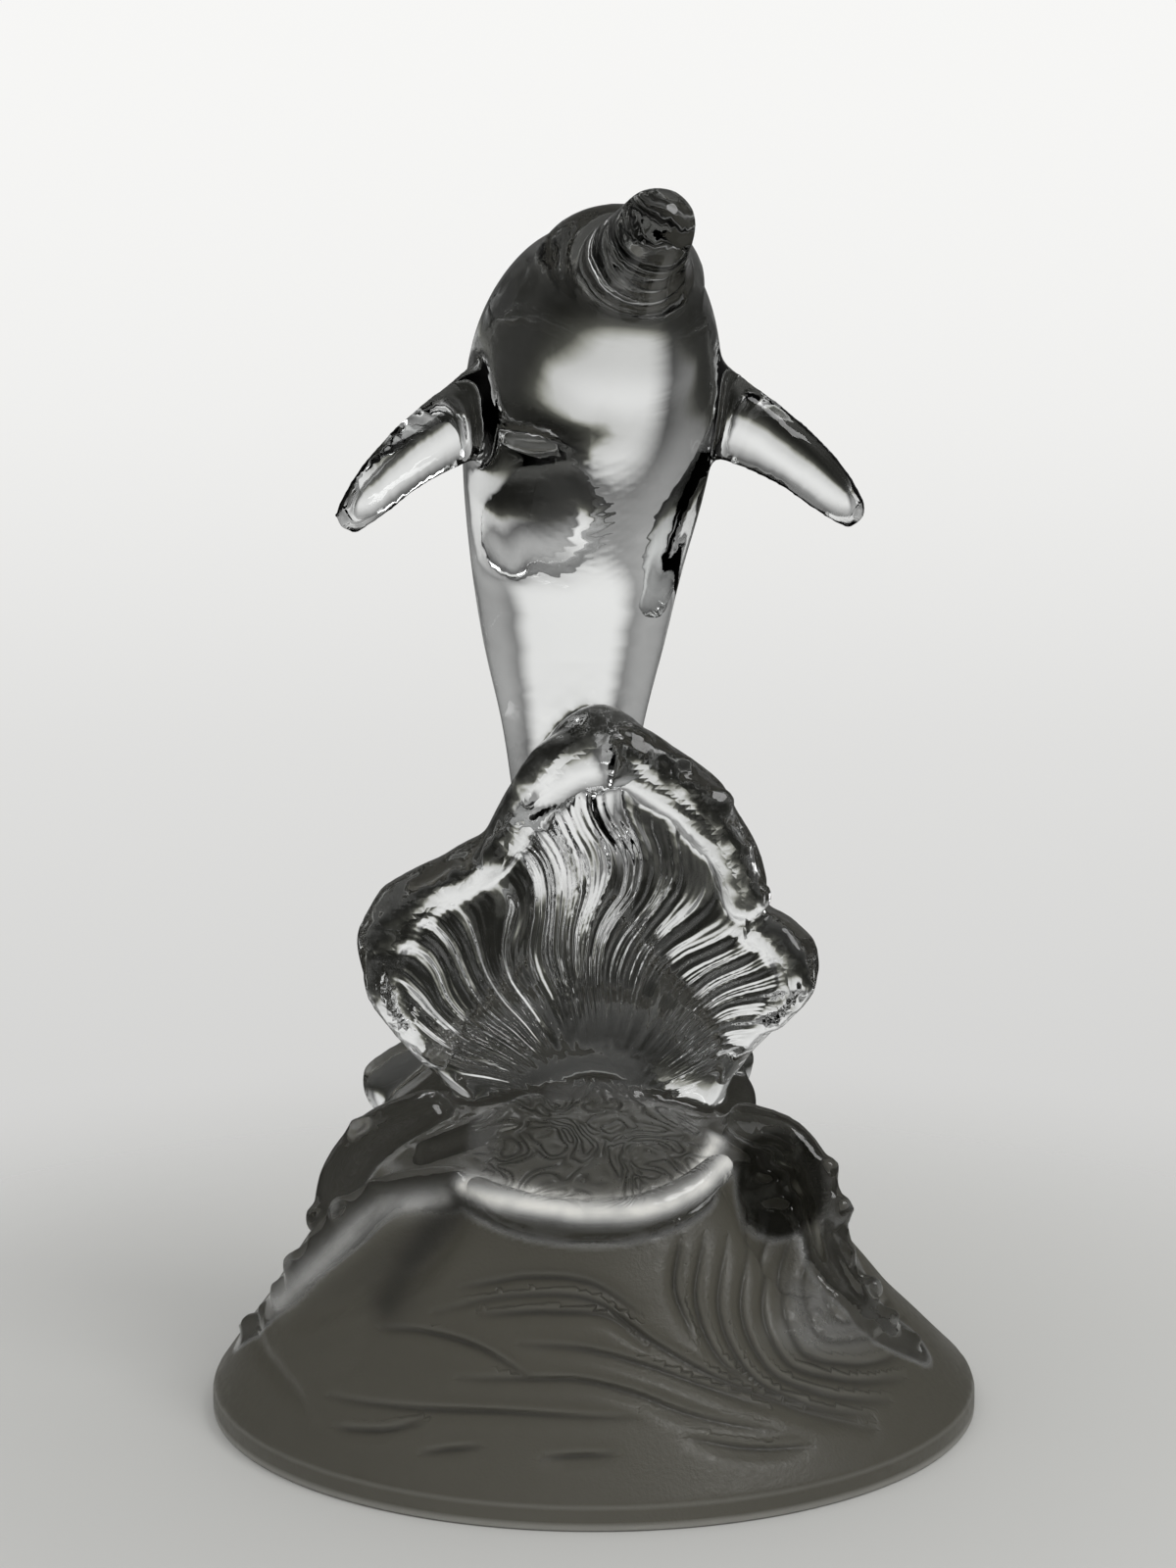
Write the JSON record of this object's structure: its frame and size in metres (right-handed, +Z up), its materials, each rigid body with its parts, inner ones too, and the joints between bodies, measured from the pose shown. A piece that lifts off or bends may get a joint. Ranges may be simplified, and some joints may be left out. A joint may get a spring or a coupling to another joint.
{
  "type": "dolphin figurine",
  "caption": "Cast clear glass dolphin leaping, belly forward, over a fluted glass wave on an oval domed base with a frosted, wave-carved front.",
  "frame": {"origin": "middle of the flat underside of the base", "axes": "+Z up, -Y the front that the belly faces, +X the viewer's right"},
  "size_m": [0.104, 0.096, 0.1597],
  "materials": {
    "crystal_glass": "polished clear glass, satin frosted on the front of the base"
  },
  "bodies": {
    "root": {"dolphin_figurine": "crystal_glass"}
  },
  "joints": []
}
